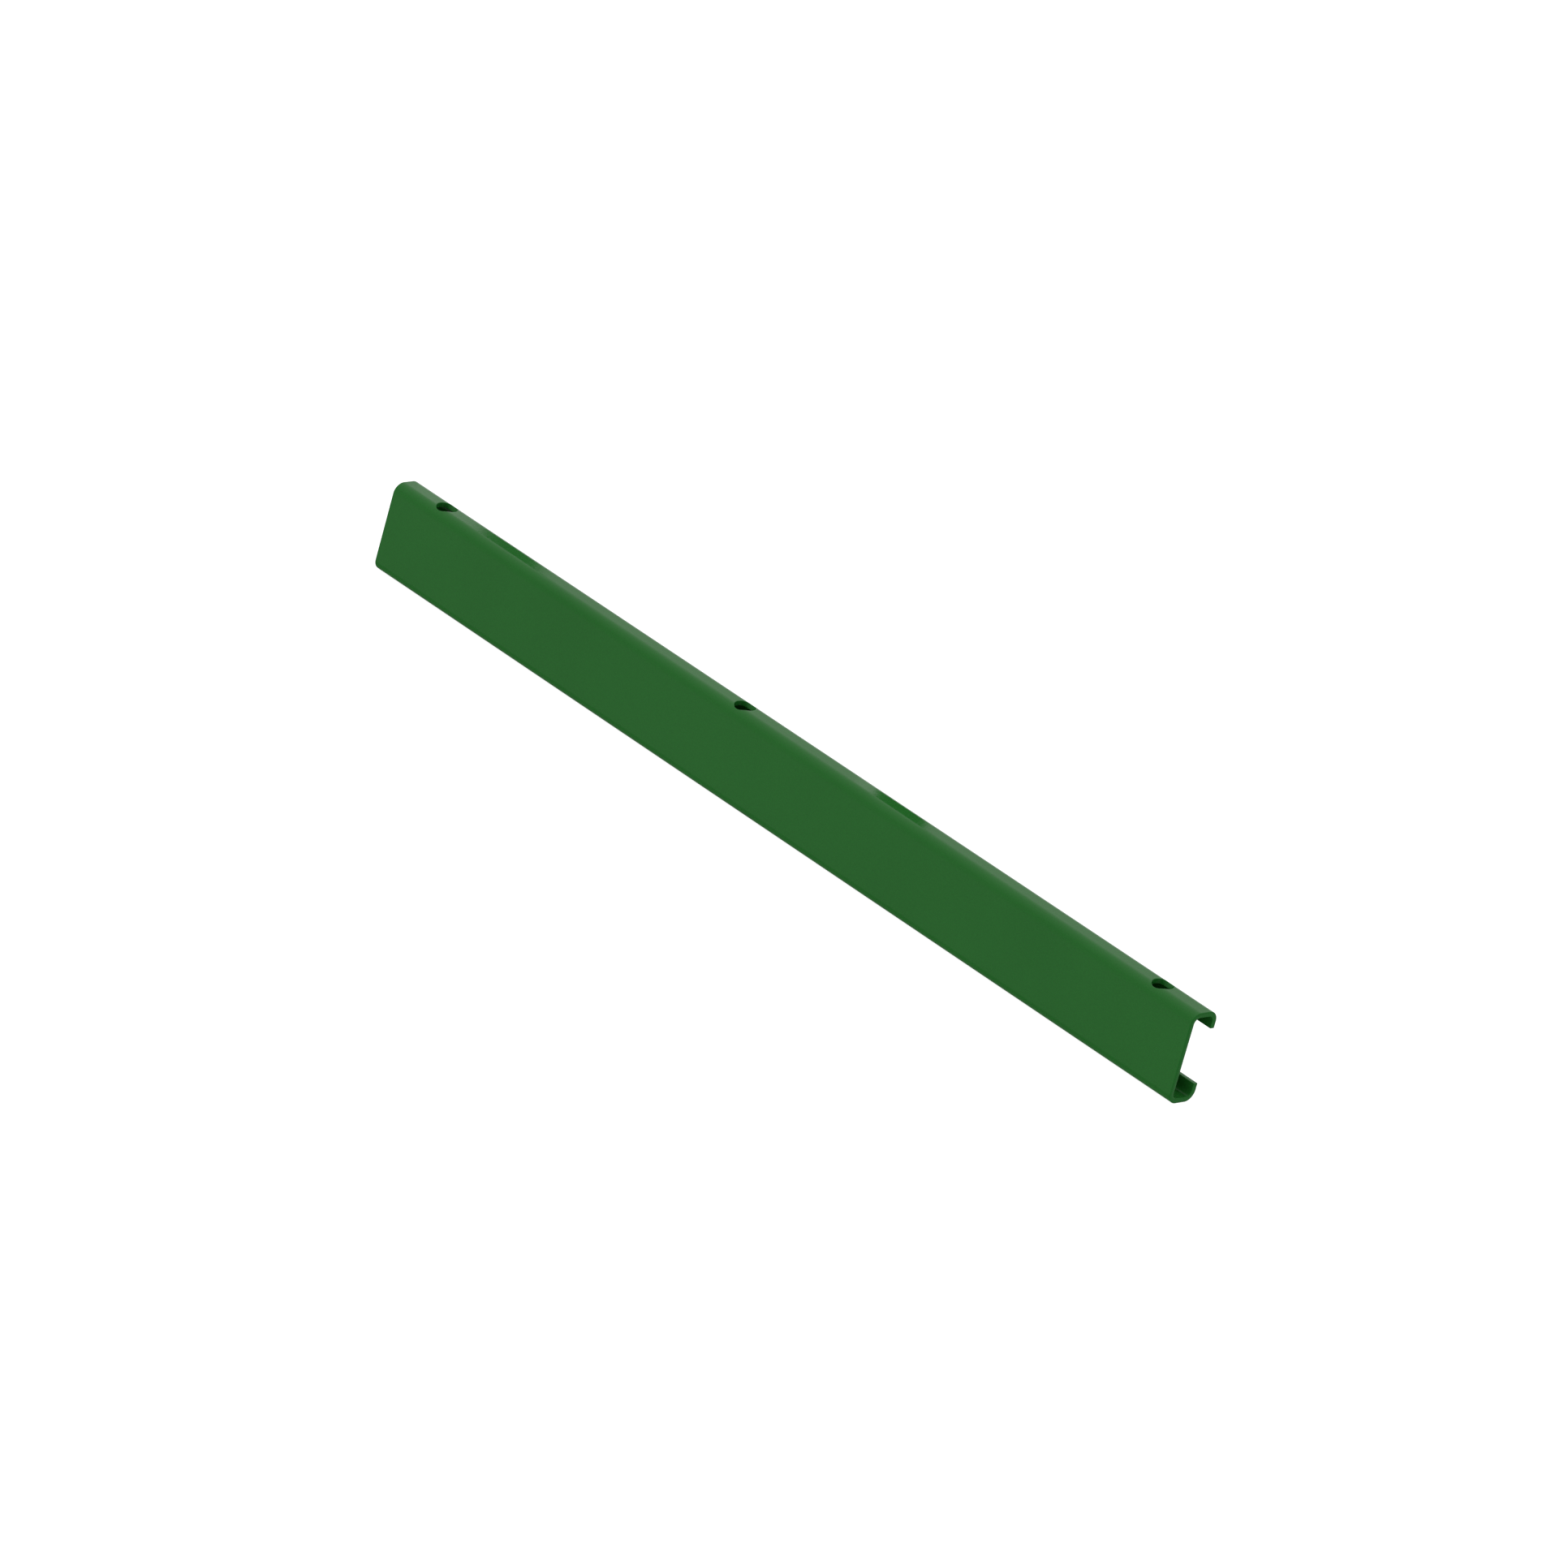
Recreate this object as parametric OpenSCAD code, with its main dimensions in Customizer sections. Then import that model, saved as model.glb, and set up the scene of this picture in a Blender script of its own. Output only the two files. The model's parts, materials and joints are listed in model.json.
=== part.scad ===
// Channel rail of a straight slide: one strip of steel sheet, punched and
// then folded into a channel with a lip along each flange.
//
// +X runs along the rail, the flat web faces -Y, the open side faces +Y and
// the flange with the holes is on top. The origin is on the underside of the
// lower flange, midway along the rail and midway across it.

/* [Rail] */
// Length of the rail
rail_length = 619.1; // [420:0.1:1200]
// Height of the web, over both flanges
web_height = 50.8; // [42:0.1:120]
// Depth of both flanges, from the face of the web to the face of the lips
flange_depth = 18.6; // [18:0.1:60]
// Depth of both lips, from the outside of the flange to the tip
lip_depth = 9.9; // [7.5:0.1:18]

/* [Sheet] */
// Thickness of the coated sheet
sheet_t = 2.75; // [1:0.05:3]
// Inside radius of the four bends
bend_r = 3.35; // [1:0.05:4]

/* [Holes] */
// Diameter of the three holes in the upper flange
hole_d = 11.4; // [4:0.1:12]
// Distance from each end of the rail to the centre of its nearest hole
end_inset = 31.75; // [12:0.05:45]
// Distance from the hole at the -X end to the middle hole
short_pitch = 238.1; // [60:0.1:300]

/* [Hidden] */

$fn = 96;

// Outside radius of the four bends, on the same centres as the inside
outer_r = bend_r + sheet_t;

// How far a cutter runs past the faces that it cuts
cut_over = 1;

// Places of the holes along the rail, with the end holes an inset from the ends
first_hole_x = -rail_length / 2 + end_inset;
last_hole_x = rail_length / 2 - end_inset;
HOLES_X = [first_hole_x, first_hole_x + short_pitch, last_hole_x];

// Paint on the coated steel
RAIL_GREEN = [0.17, 0.37, 0.18];

// Rectangle with round corners, centred on the Y axis and standing on the X axis
module rounded_outline(width, height, radius) {
    translate([-width / 2, radius]) square([width, height - 2 * radius]);
    translate([radius - width / 2, 0]) square([width - 2 * radius, height]);
    for (side = [-1, 1], level = [radius, height - radius])
        translate([side * (width / 2 - radius), level]) circle(r = radius);
}

// Section through the folded sheet: web on the left, lips on the right
module channel_section() {
    difference() {
        rounded_outline(flange_depth, web_height, outer_r);
        translate([0, sheet_t])
            rounded_outline(flange_depth - 2 * sheet_t, web_height - 2 * sheet_t, bend_r);
        mouth();
    }
}

// The gap between the tips of the lips
module mouth() {
    translate([0, lip_depth])
        square([flange_depth / 2 + cut_over, web_height - 2 * lip_depth]);
}

// Cutter for one hole: it reaches down to where the bends of the flange end
module hole_cutter() {
    translate([0, 0, web_height - outer_r])
        cylinder(d = hole_d, h = outer_r + cut_over);
}

// The section swept along the rail, with the holes through its upper flange
module slide_rail() {
    color(RAIL_GREEN)
        difference() {
            rotate([90, 0, 90])
                linear_extrude(height = rail_length, center = true) channel_section();
            for (x = HOLES_X)
                translate([x, 0, 0]) hole_cutter();
        }
}

slide_rail();
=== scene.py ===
"""The looks of a straight slide's side rail: one strip of steel sheet, punched, folded and powder coated.

The rail is made here the way it is made in a workshop. A flat strip gets its holes, every cut edge is
softened, and the strip is then folded round its four bends into a channel with inturned lips.
"""

from __future__ import annotations

import json
import logging
import math
from collections.abc import Iterator
from dataclasses import dataclass, field
from enum import Enum

import bmesh
import bpy
from mathutils import Matrix, Vector


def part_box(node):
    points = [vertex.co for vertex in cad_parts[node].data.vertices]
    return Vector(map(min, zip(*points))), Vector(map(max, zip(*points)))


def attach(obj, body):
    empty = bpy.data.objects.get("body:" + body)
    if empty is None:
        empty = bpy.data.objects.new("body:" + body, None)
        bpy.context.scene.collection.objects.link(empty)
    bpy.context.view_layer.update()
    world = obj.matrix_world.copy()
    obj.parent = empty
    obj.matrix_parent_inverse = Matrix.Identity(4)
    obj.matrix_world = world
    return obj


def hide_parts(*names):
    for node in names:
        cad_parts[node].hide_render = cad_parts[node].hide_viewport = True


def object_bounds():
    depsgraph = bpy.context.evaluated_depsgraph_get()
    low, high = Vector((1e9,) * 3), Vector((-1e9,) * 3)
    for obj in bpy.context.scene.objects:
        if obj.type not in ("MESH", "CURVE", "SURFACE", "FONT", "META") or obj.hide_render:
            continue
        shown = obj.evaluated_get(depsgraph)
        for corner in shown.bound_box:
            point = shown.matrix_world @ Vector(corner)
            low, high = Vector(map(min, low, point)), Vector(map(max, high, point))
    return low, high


logging.basicConfig(level=logging.INFO, format="%(name)s: %(message)s")
log = logging.getLogger("slide_rail")

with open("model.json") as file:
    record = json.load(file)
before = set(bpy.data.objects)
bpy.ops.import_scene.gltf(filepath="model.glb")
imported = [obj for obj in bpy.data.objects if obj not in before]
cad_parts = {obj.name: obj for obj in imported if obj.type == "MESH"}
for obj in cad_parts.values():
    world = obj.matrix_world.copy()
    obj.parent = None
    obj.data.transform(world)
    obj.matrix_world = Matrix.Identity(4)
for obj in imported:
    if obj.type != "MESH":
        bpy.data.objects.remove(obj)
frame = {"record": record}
CAD_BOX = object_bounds()

MM = 0.001
NODE = "slide_rail"
BODY = "root"
SLOT = "green_powder_coat"
EDGE_MARK = "cut_edge"

# Directions along the rail and across its flat strip
ALONG = Vector((1.0, 0.0, 0.0))
ACROSS = Vector((0.0, 1.0, 0.0))

RIGHT_ANGLE = math.pi / 2


# ---------------------------------------------------------------------------
# Folding a flat strip
# ---------------------------------------------------------------------------


class Form(Enum):
    """What becomes of a stretch of the strip."""

    FLAT = "flat"
    BEND = "bend"


@dataclass(frozen=True)
class Stretch:
    """One flat or one bend of the folded strip, in the order that they follow each other round it.

    Attributes:
        form: Whether the stretch stays flat or is folded through a right angle.
        start: Distance from the strip's first edge to the start of the stretch, in millimetres.
        length: Length of the stretch in the flat strip, in millimetres.
        corner: Place of its start on the outer face of the section, as (y, z) in millimetres.
        heading: Direction in which the outer face runs at the start, in radians from +Y towards +Z.
    """

    form: Form
    start: float
    length: float
    corner: Vector
    heading: float


@dataclass(frozen=True)
class SheetStock:
    """The coated sheet that the rail is folded from, with lengths in millimetres.

    Attributes:
        thickness: Thickness of the sheet with its coat.
        bend_radius: Inside radius of every bend.
        neutral: Share of the thickness, from the inside, at which the sheet keeps its length in a bend.
        edge_radius: Rounding of every cut edge under the coat.
        edge_segments: Facets across that rounding.
        sharp_angle: Angle between two faces, in radians, over which the edge between them is rounded.
        bend_segments: Facets round each bend.
    """

    thickness: float = 2.75
    bend_radius: float = 3.35
    neutral: float = 0.44
    edge_radius: float = 0.22
    edge_segments: int = 3
    sharp_angle: float = math.radians(45)
    bend_segments: int = 24

    @property
    def outer_radius(self) -> float:
        """Outside radius of every bend."""
        return self.bend_radius + self.thickness

    @property
    def bend_length(self) -> float:
        """Length of the flat strip that one right-angled bend takes up."""
        return (self.bend_radius + self.neutral * self.thickness) * RIGHT_ANGLE


@dataclass
class ChannelSection:
    """The folded section: lip, flange, web, flange and lip, open towards +Y.

    Attributes:
        stock: The sheet.
        web_height: Height over both flanges, in millimetres.
        flange_depth: Depth from the face of the web to the faces of the lips, in millimetres.
        lip_depth: Depth of each lip from the outside of its flange to its tip, in millimetres.
        stretches: The flats and bends, from the tip of the lower lip round to the tip of the upper one.
    """

    stock: SheetStock
    web_height: float
    flange_depth: float
    lip_depth: float = 9.9
    stretches: list[Stretch] = field(init=False)

    def __post_init__(self) -> None:
        """Lays the flats and bends out one after another, from the tip of the lower lip."""
        radius = self.stock.outer_radius
        lip = self.lip_depth - radius
        flange = self.flange_depth - 2 * radius
        web = self.web_height - 2 * radius
        self.stretches = []
        place = Vector((self.flange_depth / 2, self.lip_depth))
        heading = -RIGHT_ANGLE
        start = 0.0
        for flat in (lip, flange, web, flange, lip):
            if self.stretches:
                bend = Stretch(Form.BEND, start, self.stock.bend_length, place.copy(), heading)
                self.stretches.append(bend)
                start += bend.length
                turned = heading - RIGHT_ANGLE
                place = place + radius * (self.towards(heading) + self.towards(turned))
                heading = turned
            self.stretches.append(Stretch(Form.FLAT, start, flat, place.copy(), heading))
            start += flat
            place = place + flat * self.towards(heading)

    @staticmethod
    def towards(heading: float) -> Vector:
        """Returns the unit vector (y, z) of a heading."""
        return Vector((math.cos(heading), math.sin(heading)))

    @property
    def blank_width(self) -> float:
        """Width of the flat strip before it is folded."""
        last = self.stretches[-1]
        return last.start + last.length

    @property
    def upper_flange(self) -> Stretch:
        """The flat of the flange on top, which the holes are centred on."""
        return self.stretches[-3]

    def fold_lines(self) -> Iterator[float]:
        """Yields the distances across the flat strip at which it needs an edge to fold cleanly.

        Yields:
            The ends of each facet of each bend, and a line a little way into the flats on both sides,
            which keeps the shading of the flats flat.
        """
        facet = self.stock.bend_length / self.stock.bend_segments
        for bend in self.stretches:
            if bend.form is Form.BEND:
                for step in range(-1, self.stock.bend_segments + 2):
                    yield bend.start + step * facet

    def folded(self, across: float, depth: float) -> tuple[float, float]:
        """Places a point of the flat strip in the folded section.

        Args:
            across: Distance from the strip's first edge, in millimetres.
            depth: Distance under the outer face, in millimetres.

        Returns:
            The point's y and z in the section, in millimetres.
        """
        at = next((s for s in self.stretches if across <= s.start + s.length), self.stretches[-1])
        outward = self.towards(at.heading + RIGHT_ANGLE)
        travel = across - at.start
        if at.form is Form.FLAT:
            point = at.corner + travel * self.towards(at.heading) - depth * outward
            return point.x, point.y
        centre = at.corner - self.stock.outer_radius * outward
        turned = self.towards(at.heading + (1 - travel / at.length) * RIGHT_ANGLE)
        point = centre + (self.stock.outer_radius - depth) * turned
        return point.x, point.y


# ---------------------------------------------------------------------------
# The rail
# ---------------------------------------------------------------------------


@dataclass
class SlideRail:
    """The whole rail, which is one piece of sheet.

    Attributes:
        section: The folded section.
        length: Length of the rail, in millimetres.
        hole_places: Distance of each hole from the middle of the rail, in millimetres.
        hole_radius: Radius of the holes as they are punched in the flat strip, in millimetres.
        window: Half the side of the square of the strip that is built round each hole, in millimetres.
        rim_segments: Facets round each hole, a multiple of eight.
        support: Width of the narrow faces beside the cut edges, in millimetres.
    """

    section: ChannelSection
    length: float
    hole_places: list[float]
    hole_radius: float
    window: float = 8.6
    rim_segments: int = 96
    support: float = 0.5

    @classmethod
    def from_frame(cls) -> SlideRail:
        """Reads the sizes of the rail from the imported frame.

        Returns:
            The rail, with its length, height, depth and holes as the frame has them.
        """
        low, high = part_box(NODE)
        length, depth, height = ((high[axis] - low[axis]) / MM for axis in range(3))
        bores = [mount for mount in frame["record"]["mounts"] if mount["kind"] == "bore"]
        return cls(
            section=ChannelSection(SheetStock(), web_height=height, flange_depth=depth),
            length=length,
            hole_places=[bore["pos_m"][0] / MM for bore in bores],
            hole_radius=bores[0]["dims"]["r_mm"],
        )

    @property
    def hole_line(self) -> float:
        """Distance of the holes' centres from the strip's first edge."""
        flange = self.section.upper_flange
        return flange.start + flange.length / 2

    def cut(self, strip: bmesh.types.BMesh, normal: Vector, distance: float) -> None:
        """Cuts every face that a plane crosses, and keeps both sides.

        Args:
            strip: The mesh to cut.
            normal: Normal of the plane.
            distance: Distance of the plane from the origin along its normal.
        """
        everything = [*strip.verts, *strip.edges, *strip.faces]
        bmesh.ops.bisect_plane(
            strip, geom=everything, dist=1e-4, plane_co=normal * distance, plane_no=normal
        )

    def rolled_strip(self) -> bmesh.types.BMesh:
        """Makes the flat strip with a square window where each hole is to be punched.

        Returns:
            A mesh in millimetres: X along the rail, Y across the strip from its first edge, Z = 0.
        """
        width = self.section.blank_width
        strip = bmesh.new()
        bmesh.ops.create_grid(strip, x_segments=1, y_segments=1, size=0.5)
        bmesh.ops.scale(strip, vec=Vector((self.length, width, 1.0)), verts=strip.verts)
        bmesh.ops.translate(strip, vec=ACROSS * width / 2, verts=strip.verts)
        margin = self.section.stock.edge_radius + self.support
        for side in (-1, 1):
            self.cut(strip, ALONG, side * (self.length / 2 - margin))
            self.cut(strip, ACROSS, (width + side * (width - 2 * margin)) / 2)
            self.cut(strip, ACROSS, self.hole_line + side * self.window)
            for place in self.hole_places:
                self.cut(strip, ALONG, place + side * self.window)
        windows = [face for face in strip.faces if self.is_window(face)]
        bmesh.ops.delete(strip, geom=windows, context="FACES")
        return strip

    def is_window(self, face: bmesh.types.BMFace) -> bool:
        """Tells whether a face of the flat strip lies where a hole is to be punched.

        Args:
            face: The face.

        Returns:
            Whether its centre lies in one of the windows.
        """
        centre = face.calc_center_median()
        beside = min(abs(centre.x - place) for place in self.hole_places)
        return beside < self.window and abs(centre.y - self.hole_line) < self.window

    def punch(self, strip: bmesh.types.BMesh, place: float) -> None:
        """Fills the window round one hole, up to the rim of the hole.

        Args:
            strip: The flat strip with its square windows.
            place: Distance of the hole from the middle of the rail, in millimetres.
        """
        centre = Vector((place, self.hole_line, 0.0))
        cuts = self.rim_segments // 4 - 1
        bmesh.ops.subdivide_edges(strip, edges=self.window_sides(strip, centre), cuts=cuts)
        square = self.window_sides(strip, centre)
        support_radius = self.hole_radius + self.section.stock.edge_radius + self.support
        ring = self.circle(strip, centre, support_radius)
        bmesh.ops.triangle_fill(strip, use_beauty=True, edges=square + ring)
        rim = bmesh.ops.extrude_edge_only(strip, edges=ring)["geom"]
        shrink = self.hole_radius / support_radius
        bmesh.ops.scale(
            strip,
            vec=Vector((shrink, shrink, 1.0)),
            space=Matrix.Translation(-centre),
            verts=[part for part in rim if isinstance(part, bmesh.types.BMVert)],
        )

    def window_sides(self, strip: bmesh.types.BMesh, centre: Vector) -> list[bmesh.types.BMEdge]:
        """Finds the edges of the square window round one hole, always in the same order.

        Args:
            strip: The flat strip with its square windows.
            centre: Centre of the hole.

        Returns:
            The window's edges.
        """
        reach = self.window * math.sqrt(2) + self.support
        return [
            edge
            for edge in strip.edges
            if edge.is_boundary and all((vert.co - centre).length < reach for vert in edge.verts)
        ]

    def circle(
        self, strip: bmesh.types.BMesh, centre: Vector, radius: float
    ) -> list[bmesh.types.BMEdge]:
        """Adds a circle of edges to the flat strip.

        Args:
            strip: The mesh to add to.
            centre: Centre of the circle.
            radius: Radius of the circle, in millimetres.

        Returns:
            The circle's edges, always in the same order.
        """
        place = Matrix.Translation(centre)
        made = bmesh.ops.create_circle(
            strip, segments=self.rim_segments, radius=radius, matrix=place
        )
        return list(dict.fromkeys(edge for vert in made["verts"] for edge in vert.link_edges))

    def thicken(self, strip: bmesh.types.BMesh) -> None:
        """Gives the flat strip its thickness downwards and rounds every cut edge.

        Args:
            strip: The punched strip.
        """
        stock = self.section.stock
        faces = list(strip.faces)
        extruded = bmesh.ops.extrude_face_region(strip, geom=faces, use_keep_orig=True)
        lower = [part for part in extruded["geom"] if isinstance(part, bmesh.types.BMVert)]
        bmesh.ops.translate(strip, vec=Vector((0.0, 0.0, -stock.thickness)), verts=lower)
        bmesh.ops.recalc_face_normals(strip, faces=strip.faces)
        sharp = [
            edge
            for edge in strip.edges
            if edge.is_manifold and edge.calc_face_angle(0.0) > stock.sharp_angle
        ]
        bmesh.ops.bevel(
            strip,
            geom=sharp,
            offset=stock.edge_radius,
            segments=stock.edge_segments,
            profile=0.5,
            affect="EDGES",
            material=-1,
        )

    def distance_to_cut(self, place: Vector) -> float:
        """Measures how far a point of the flat strip lies from the nearest end, edge or hole rim.

        Args:
            place: The point, in millimetres.

        Returns:
            The distance in the plane of the strip, in millimetres.
        """
        from_end = self.length / 2 - abs(place.x)
        from_tip = min(place.y, self.section.blank_width - place.y)
        centres = (Vector((along, self.hole_line)) for along in self.hole_places)
        from_rim = min((place.xy - centre).length for centre in centres) - self.hole_radius
        return min(from_end, from_tip, from_rim)

    def fold(self, strip: bmesh.types.BMesh) -> None:
        """Folds the finished flat strip into the section, and turns it from millimetres to metres.

        The attribute EDGE_MARK is 1 on the rounded cut edges and 0 on the plain faces beside them.

        Args:
            strip: The thick strip with its rounded edges.
        """
        for distance in self.section.fold_lines():
            self.cut(strip, ACROSS, distance)
        # Mask of the cut edges, where the coat is darkened: a thinner coat there, and painted shade on
        # the end faces, lip tips and hole walls.
        edge_mark = strip.verts.layers.float.new(EDGE_MARK)
        edge_reach = self.section.stock.edge_radius + self.support / 2
        for vert in strip.verts:
            vert[edge_mark] = float(self.distance_to_cut(vert.co) < edge_reach)
            y, z = self.section.folded(vert.co.y, -vert.co.z)
            vert.co = Vector((vert.co.x, y, z)) * MM
        bmesh.ops.recalc_face_normals(strip, faces=strip.faces)

    def build(self) -> bpy.types.Object:
        """Builds the rail.

        Returns:
            The rail's object, at the origin and unscaled, linked to the scene.
        """
        strip = self.rolled_strip()
        for place in self.hole_places:
            self.punch(strip, place)
        self.thicken(strip)
        self.fold(strip)
        mesh = bpy.data.meshes.new("folded_rail")
        strip.to_mesh(mesh)
        strip.free()
        mesh.shade_smooth()
        rail = bpy.data.objects.new("folded_rail", mesh)
        bpy.context.scene.collection.objects.link(rail)
        return rail


# ---------------------------------------------------------------------------
# Finishes
# ---------------------------------------------------------------------------


def spread(
    tree: bpy.types.NodeTree,
    value: bpy.types.NodeSocket,
    given: tuple[float, float],
    wanted: tuple[float, float],
) -> bpy.types.NodeSocket:
    """Carries a value over from one range to another, and holds it at the ends.

    Args:
        tree: Node tree to add to.
        value: The value.
        given: The two ends of its range.
        wanted: What those ends become.

    Returns:
        The value in its new range.
    """
    node = tree.nodes.new("ShaderNodeMapRange")
    node.inputs["From Min"].default_value, node.inputs["From Max"].default_value = given
    node.inputs["To Min"].default_value, node.inputs["To Max"].default_value = wanted
    tree.links.new(value, node.inputs["Value"])
    return node.outputs["Result"]


@dataclass(frozen=True)
class PowderCoat:
    """Semi-gloss powder coat on steel sheet.

    Attributes:
        name: Name of the material.
        colour: Colour of the coat, linear.
        deep_colour: Colour where the coat lies a little thicker, linear.
        thin_coat_and_shade_colour: Darker colour along every cut edge, linear: partly the coat drawn thin
            there, partly painted shade on the end faces, lip tips and hole walls.
        roughness: Roughness of the coat.
        specular: Strength of its plain reflection.
        drift_scale: Patches of slow drift to a metre.
        drift_roughness: How far the roughness drifts either way.
        grain_scale: Specks of the coat's fine grain to a metre.
        grain_roughness: How far the roughness varies either way in the grain.
        grain_share: Share of the grain in the variation of colour, with the slow drift as the rest.
        edge_cover: Least share of the edge colour along a cut edge, where the grain is low.
        peel_scale: Dimples of the coat's orange peel to a metre.
        peel_height: Height of those dimples, in metres.
        noise_span: The stretch of a noise's values that nearly all of it lies in.
    """

    name: str
    colour: tuple[float, float, float]
    deep_colour: tuple[float, float, float]
    thin_coat_and_shade_colour: tuple[float, float, float]
    roughness: float
    specular: float
    drift_scale: float = 16.0
    drift_roughness: float = 0.015
    grain_scale: float = 1900.0
    grain_roughness: float = 0.02
    grain_share: float = 0.7
    edge_cover: float = 0.7
    peel_scale: float = 560.0
    peel_height: float = 0.00003
    noise_span: tuple[float, float] = (0.3, 0.7)

    def material(self) -> bpy.types.Material:
        """Builds the node material.

        Returns:
            The material, which reads Object coordinates and the attribute EDGE_MARK.
        """
        material = bpy.data.materials.new(self.name)
        material.use_nodes = True
        tree = material.node_tree
        shader = tree.nodes["Principled BSDF"]
        shader.inputs["Specular IOR Level"].default_value = self.specular
        where = tree.nodes.new("ShaderNodeTexCoord").outputs["Object"]
        drift = self.noise(tree, where, self.drift_scale, detail=3.0)
        grain = self.noise(tree, where, self.grain_scale, detail=2.0)
        self.colours(tree, drift, grain)
        self.gloss(tree, drift, grain)
        self.relief(tree, where)
        return material

    @staticmethod
    def noise(
        tree: bpy.types.NodeTree, where: bpy.types.NodeSocket, scale: float, detail: float
    ) -> bpy.types.NodeSocket:
        """Adds a noise texture.

        Args:
            tree: Node tree of the material.
            where: Coordinates to read.
            scale: Features to a metre.
            detail: Octaves of finer noise.

        Returns:
            The noise's value.
        """
        node = tree.nodes.new("ShaderNodeTexNoise")
        node.inputs["Scale"].default_value = scale
        node.inputs["Detail"].default_value = detail
        tree.links.new(where, node.inputs["Vector"])
        return node.outputs["Fac"]

    def ranged(
        self, tree: bpy.types.NodeTree, value: bpy.types.NodeSocket, low: float, high: float
    ) -> bpy.types.NodeSocket:
        """Spreads the middle of a noise's value over a range.

        Args:
            tree: Node tree of the material.
            value: The noise's value.
            low: Result where the noise is low.
            high: Result where the noise is high.

        Returns:
            The value in its new range.
        """
        return spread(tree, value, given=self.noise_span, wanted=(low, high))

    @staticmethod
    def mixed(
        tree: bpy.types.NodeTree,
        share: bpy.types.NodeSocket,
        first: bpy.types.NodeSocket | tuple[float, float, float],
        second: tuple[float, float, float],
    ) -> bpy.types.NodeSocket:
        """Mixes two colours.

        Args:
            tree: Node tree of the material.
            share: Share of the second colour.
            first: Colour, or a socket that carries one.
            second: Colour to mix in.

        Returns:
            The mixed colour.
        """
        node = tree.nodes.new("ShaderNodeMix")
        node.data_type = "RGBA"
        tree.links.new(share, node.inputs["Factor"])
        if isinstance(first, tuple):
            node.inputs["A"].default_value = (*first, 1.0)
        else:
            tree.links.new(first, node.inputs["A"])
        node.inputs["B"].default_value = (*second, 1.0)
        return node.outputs["Result"]

    def colours(
        self, tree: bpy.types.NodeTree, drift: bpy.types.NodeSocket, grain: bpy.types.NodeSocket
    ) -> None:
        """Varies the coat's colour, slowly and in its grain, and darkens it along the cut edges: partly a
        thinner coat, partly painted shade on the end faces, lip tips and hole walls.

        Args:
            tree: Node tree of the material.
            drift: Value of the slow noise.
            grain: Value of the fine noise.
        """
        blend = tree.nodes.new("ShaderNodeMix")
        blend.inputs["Factor"].default_value = self.grain_share
        tree.links.new(self.ranged(tree, drift, 0.0, 1.0), blend.inputs["A"])
        tree.links.new(self.ranged(tree, grain, 0.0, 1.0), blend.inputs["B"])
        coat = self.mixed(tree, blend.outputs["Result"], self.colour, self.deep_colour)
        edge = tree.nodes.new("ShaderNodeAttribute")
        edge.attribute_name = EDGE_MARK
        # Share of the darker edge colour, the cut-edge mask broken by the grain: partly thin coat, partly
        # painted shade on end faces, lip tips and hole walls.
        thin_coat_and_shade = tree.nodes.new("ShaderNodeMath")
        thin_coat_and_shade.operation = "MULTIPLY"
        tree.links.new(edge.outputs["Fac"], thin_coat_and_shade.inputs[0])
        tree.links.new(self.ranged(tree, grain, self.edge_cover, 1.0), thin_coat_and_shade.inputs[1])
        coat_with_thin_and_shaded_edges = self.mixed(tree, thin_coat_and_shade.outputs["Value"], coat, self.thin_coat_and_shade_colour)
        tree.links.new(coat_with_thin_and_shaded_edges, tree.nodes["Principled BSDF"].inputs["Base Color"])

    def gloss(
        self, tree: bpy.types.NodeTree, drift: bpy.types.NodeSocket, grain: bpy.types.NodeSocket
    ) -> None:
        """Varies the coat's roughness, slowly and in its grain.

        Args:
            tree: Node tree of the material.
            drift: Value of the slow noise.
            grain: Value of the fine noise.
        """
        total = tree.nodes.new("ShaderNodeMath")
        total.operation = "ADD"
        half = self.roughness / 2
        varied = ((drift, self.drift_roughness), (grain, self.grain_roughness))
        for (noise, swing), given in zip(varied, total.inputs):
            tree.links.new(self.ranged(tree, noise, half - swing, half + swing), given)
        tree.links.new(total.outputs["Value"], tree.nodes["Principled BSDF"].inputs["Roughness"])

    def relief(self, tree: bpy.types.NodeTree, where: bpy.types.NodeSocket) -> None:
        """Raises the coat's orange peel.

        Args:
            tree: Node tree of the material.
            where: Coordinates to read.
        """
        bump = tree.nodes.new("ShaderNodeBump")
        bump.inputs["Strength"].default_value = 1.0
        bump.inputs["Distance"].default_value = self.peel_height
        peel = self.noise(tree, where, self.peel_scale, detail=1.0)
        tree.links.new(peel, bump.inputs["Height"])
        tree.links.new(bump.outputs["Normal"], tree.nodes["Principled BSDF"].inputs["Normal"])


# ---------------------------------------------------------------------------
# Studio
# ---------------------------------------------------------------------------


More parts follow.
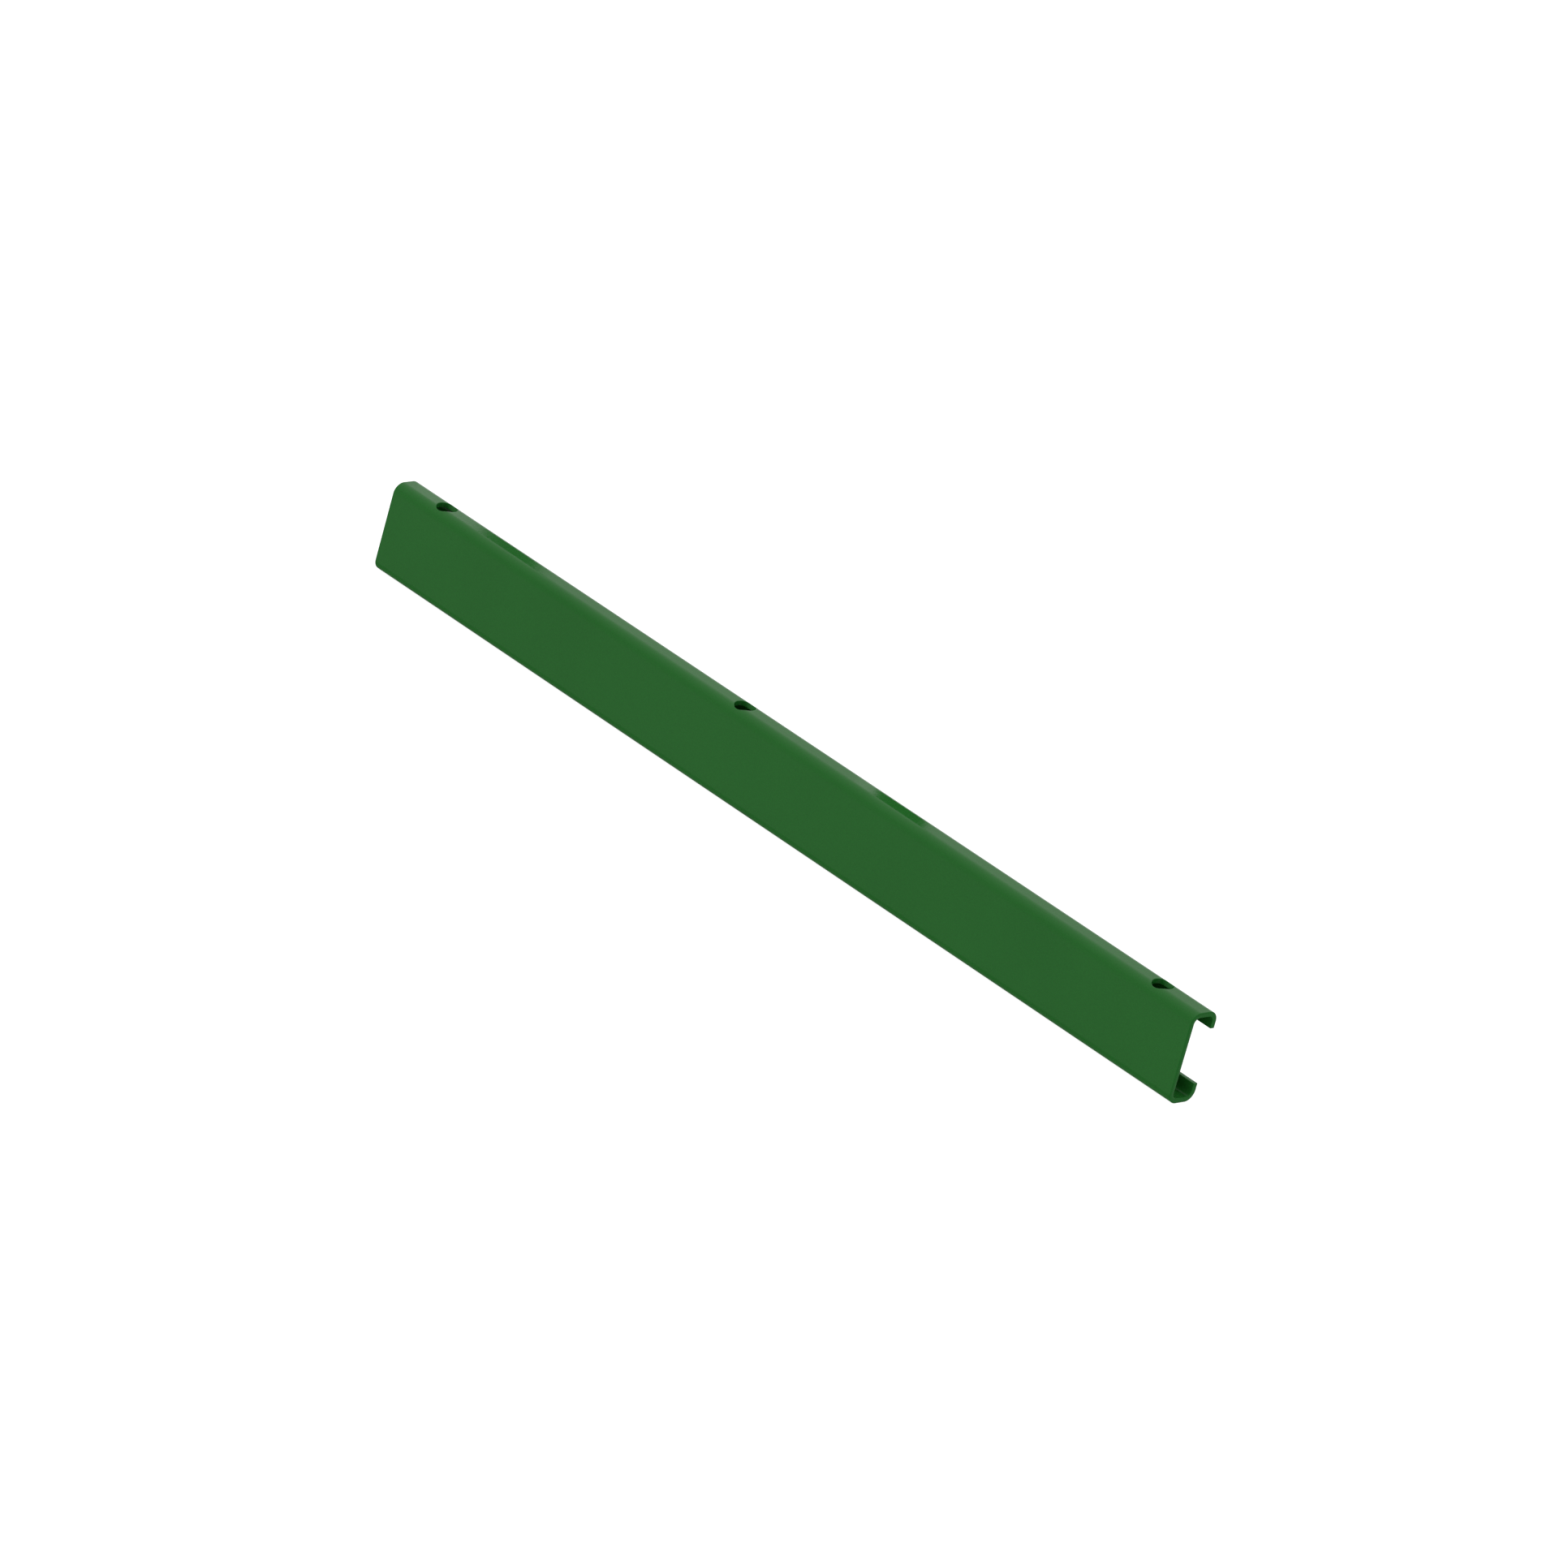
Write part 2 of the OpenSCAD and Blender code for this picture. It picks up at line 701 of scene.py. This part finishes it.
@dataclass(frozen=True)
class Viewpoint:
    """Where the camera stands, which way it looks and how far it is rolled.

    Attributes:
        aim: Point that the camera looks at, in metres.
        azimuth: Direction that it looks along, in degrees from +Y, anticlockwise seen from above.
        elevation: Height of the camera over the aim, in degrees.
        roll: Roll of the camera about its own axis, in degrees.
        distance: Distance from the aim, in metres.
        lens: Focal length, in millimetres.
        sensor: Width of the sensor, in millimetres.
        sight: How far the camera sees, in metres.
    """

    aim: Vector
    azimuth: float
    elevation: float
    roll: float
    distance: float
    lens: float
    sensor: float = 36.0
    sight: float = 100.0

    @property
    def back(self) -> Vector:
        """Turns the two angles into a direction.

        Returns:
            The unit vector from the aim to the camera.
        """
        turn = math.radians(self.azimuth)
        lift = math.radians(self.elevation)
        level = Vector((math.sin(turn), -math.cos(turn), 0.0))
        return level * math.cos(lift) + Vector((0.0, 0.0, math.sin(lift)))

    def build(self) -> None:
        """Sets up the camera and makes it the scene's own."""
        turn = math.radians(self.azimuth)
        roll = math.radians(self.roll)
        right = Vector((math.cos(turn), math.sin(turn), 0.0))
        back = self.back
        up = back.cross(right)
        rolled_right = math.cos(roll) * right + math.sin(roll) * up
        rolled_up = back.cross(rolled_right)
        place = Matrix((rolled_right, rolled_up, back)).transposed().to_4x4()
        place.translation = self.aim + back * self.distance
        data = bpy.data.cameras.new("camera")
        data.lens = self.lens
        data.sensor_width = self.sensor
        data.clip_end = self.sight
        camera = bpy.data.objects.new("camera", data)
        camera.matrix_world = place
        bpy.context.scene.collection.objects.link(camera)
        bpy.context.scene.camera = camera


def matt_material(name: str, white: float, light: float) -> bpy.types.Material:
    """Makes a matt material for the studio.

    Args:
        name: Name of the material.
        white: Share of the light on it that it gives back.
        light: Brightness of its own light.

    Returns:
        The material.
    """
    material = bpy.data.materials.new(name)
    material.use_nodes = True
    shader = material.node_tree.nodes["Principled BSDF"]
    shader.inputs["Base Color"].default_value = (white, white, white, 1.0)
    shader.inputs["Roughness"].default_value = 1.0
    shader.inputs["Specular IOR Level"].default_value = 0.0
    shader.inputs["Emission Color"].default_value = (1.0, 1.0, 1.0, 1.0)
    shader.inputs["Emission Strength"].default_value = light
    return material


def flat_sheet(name: str, place: Matrix, finish: bpy.types.Material) -> bpy.types.Object:
    """Makes a flat rectangle for the studio.

    Args:
        name: Name of the object.
        place: Size, turn and place of the rectangle, which starts as a unit square on the floor.
        finish: Its material.

    Returns:
        The rectangle, staged and linked to the scene.
    """
    plate = bmesh.new()
    bmesh.ops.create_grid(plate, x_segments=1, y_segments=1, size=0.5)
    bmesh.ops.transform(plate, matrix=place, verts=plate.verts)
    mesh = bpy.data.meshes.new(name)
    plate.to_mesh(mesh)
    plate.free()
    mesh.materials.append(finish)
    sheet = bpy.data.objects.new(name, mesh)
    bpy.context.scene.collection.objects.link(sheet)
    return sheet


@dataclass(frozen=True)
class MirroredCard:
    """A narrow card held over the rail, which only shows as a reflection in its upper flange.

    Attributes:
        along: Place on the rail where its reflection lies, in metres from the middle of the rail.
        width: Length of the card along the rail, in metres.
        distance: Distance of the card from the flange, in metres.
        height: Height of the card, in metres.
        light: Brightness of the card, 0 for a black one.
    """

    along: float
    width: float
    distance: float
    height: float
    light: float

    def build(self, top: float, back: Vector) -> None:
        """Hangs the card where the flange mirrors it to the camera.

        Args:
            top: Height of the upper flange, in metres.
            back: Unit vector towards the camera.
        """
        mirrored = Vector((-back.x, -back.y, back.z))
        rise = mirrored.cross(ALONG).normalized()
        facing = ALONG.cross(rise)
        place = Matrix((ALONG * self.width, rise * self.height, facing)).transposed().to_4x4()
        place.translation = Vector((self.along, 0.0, top)) + mirrored * self.distance
        card = flat_sheet("mirrored_card", place, matt_material("card", white=0.0, light=self.light))
        card.visible_camera = False
        card.visible_diffuse = False
        card.visible_shadow = False


@dataclass(frozen=True)
class LightDome:
    """Soft white light from all round, which changes slowly with height and from left to right.

    A level is a height in the dome, from 0 straight down to 1 straight up.

    Attributes:
        overhead: Brightness straight up.
        shoulder: Brightness halfway up, at 45 degrees.
        horizon: Brightness level with the rail and a little above and below it.
        below: Brightness of what the underside reflects.
        right_share: Share of the light that is left towards +X.
        right_reach: How far towards +X, of 1, the light has sunk to that share.
        shoulder_level: Level of the shoulder.
        horizon_levels: Lowest and highest level that are as bright as the horizon.
        below_level: Highest level that is as dim as the light from below.
    """

    overhead: float
    shoulder: float
    horizon: float
    below: float
    right_share: float
    right_reach: float = 0.7
    shoulder_level: float = 0.85
    horizon_levels: tuple[float, float] = (0.30, 0.69)
    below_level: float = 0.16

    def build(self) -> None:
        """Makes the world of the scene."""
        world = bpy.data.worlds.new("light_dome")
        world.use_nodes = True
        tree = world.node_tree
        towards = tree.nodes.new("ShaderNodeTexCoord").outputs["Generated"]
        axes = tree.nodes.new("ShaderNodeSeparateXYZ")
        tree.links.new(towards, axes.inputs["Vector"])
        sideways = spread(tree, axes.outputs["X"], (0.0, self.right_reach), (1.0, self.right_share))
        level = spread(tree, axes.outputs["Z"], (-1.0, 1.0), (0.0, 1.0))
        strength = tree.nodes.new("ShaderNodeMath")
        strength.operation = "MULTIPLY"
        tree.links.new(sideways, strength.inputs[0])
        strength.inputs[1].default_value = self.overhead
        background = tree.nodes["Background"]
        tree.links.new(strength.outputs["Value"], background.inputs["Strength"])
        tree.links.new(self.by_level(tree, level), background.inputs["Color"])
        bpy.context.scene.world = world

    def by_level(
        self, tree: bpy.types.NodeTree, level: bpy.types.NodeSocket
    ) -> bpy.types.NodeSocket:
        """Shades the dome by height.

        Args:
            tree: Node tree of the world.
            level: Level in the dome.

        Returns:
            The shade, as a share of the brightness straight up.
        """
        node = tree.nodes.new("ShaderNodeValToRGB")
        node.color_ramp.interpolation = "EASE"
        lowest, highest = self.horizon_levels
        steps = {
            self.below_level: self.below,
            lowest: self.horizon,
            highest: self.horizon,
            self.shoulder_level: self.shoulder,
            1.0: self.overhead,
        }
        elements = node.color_ramp.elements
        while len(elements) < len(steps):
            elements.new(0.5)
        for element, (position, light) in zip(elements, steps.items()):
            shade = light / self.overhead
            element.position = position
            element.color = (shade, shade, shade, 1.0)
        tree.links.new(level, node.inputs["Fac"])
        return node.outputs["Color"]


@dataclass(frozen=True)
class Studio:
    """A plain white light table under a dome of soft light.

    Attributes:
        glow: Brightness of the floor's own light.
        floor_white: How much of the light on it the floor gives back.
        dome: Light from all round.
        cards: Cards over the rail.
        floor_side: Length of the floor's sides, in metres.
    """

    glow: float
    floor_white: float
    dome: LightDome
    cards: tuple[MirroredCard, ...]
    floor_side: float = 40.0

    def build(self, top: float, back: Vector) -> None:
        """Sets up the whole studio.

        Args:
            top: Height of the rail's upper flange, in metres.
            back: Unit vector towards the camera.
        """
        self.floor()
        self.dome.build()
        for card in self.cards:
            card.build(top, back)
        bpy.context.scene.view_settings.view_transform = "Standard"

    def floor(self) -> None:
        """Lays the floor, which lights the rail but leaves its gloss to the dome."""
        size = Matrix.Diagonal((self.floor_side, self.floor_side, 1.0, 1.0))
        finish = matt_material("white_floor", self.floor_white, self.glow)
        flat_sheet("floor", size, finish).visible_glossy = False


# ---------------------------------------------------------------------------
# Everything together
# ---------------------------------------------------------------------------


def report(piece: bpy.types.Object) -> None:
    """Logs what a finished piece came to.

    Args:
        piece: The piece.
    """
    shape = bmesh.new()
    shape.from_mesh(piece.data)
    open_edges = sum(not edge.is_manifold for edge in shape.edges)
    log.info("%s: %d faces, %d open edges", piece.name, len(shape.faces), open_edges)
    shape.free()


def main() -> None:
    """Builds the rail, coats it, puts it under the body, hides the imported part and sets up the studio
    round it.
    """
    rail = SlideRail.from_frame().build()
    coat = PowderCoat(
        name=SLOT,
        colour=(0.0123, 0.1045, 0.0148),
        deep_colour=(0.0094, 0.0850, 0.0115),
        # Darker than the coat: partly the coat drawn thin over cut edges, partly painted shade on the end
        # faces, lip tips and hole walls.
        thin_coat_and_shade_colour=(0.0092, 0.0980, 0.0130),
        roughness=0.18,
        specular=0.1,
    )
    rail.data.materials.append(coat.material())
    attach(rail, BODY)
    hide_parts(NODE)
    report(rail)
    viewpoint = Viewpoint(
        aim=Vector((-0.0018, 0.0021, 0.0242)),
        azimuth=41.127,
        elevation=22.032,
        roll=15.669,
        distance=6.7804,
        lens=303.49,
    )
    viewpoint.build()
    studio = Studio(
        glow=0.95,
        floor_white=0.2,
        dome=LightDome(overhead=2.15, shoulder=1.4, horizon=1.0, below=0.2, right_share=0.5),
        cards=(
            MirroredCard(along=-0.2870, width=0.056, distance=0.19, height=0.20, light=1.25),
            MirroredCard(along=-0.2335, width=0.047, distance=0.19, height=0.06, light=0.0),
            MirroredCard(along=0.0535, width=0.012, distance=0.08, height=0.08, light=1.3),
            MirroredCard(along=0.0810, width=0.037, distance=0.08, height=0.03, light=0.0),
        ),
    )
    studio.build(top=CAD_BOX[1].z, back=viewpoint.back)


if __name__ == "__main__":
    main()
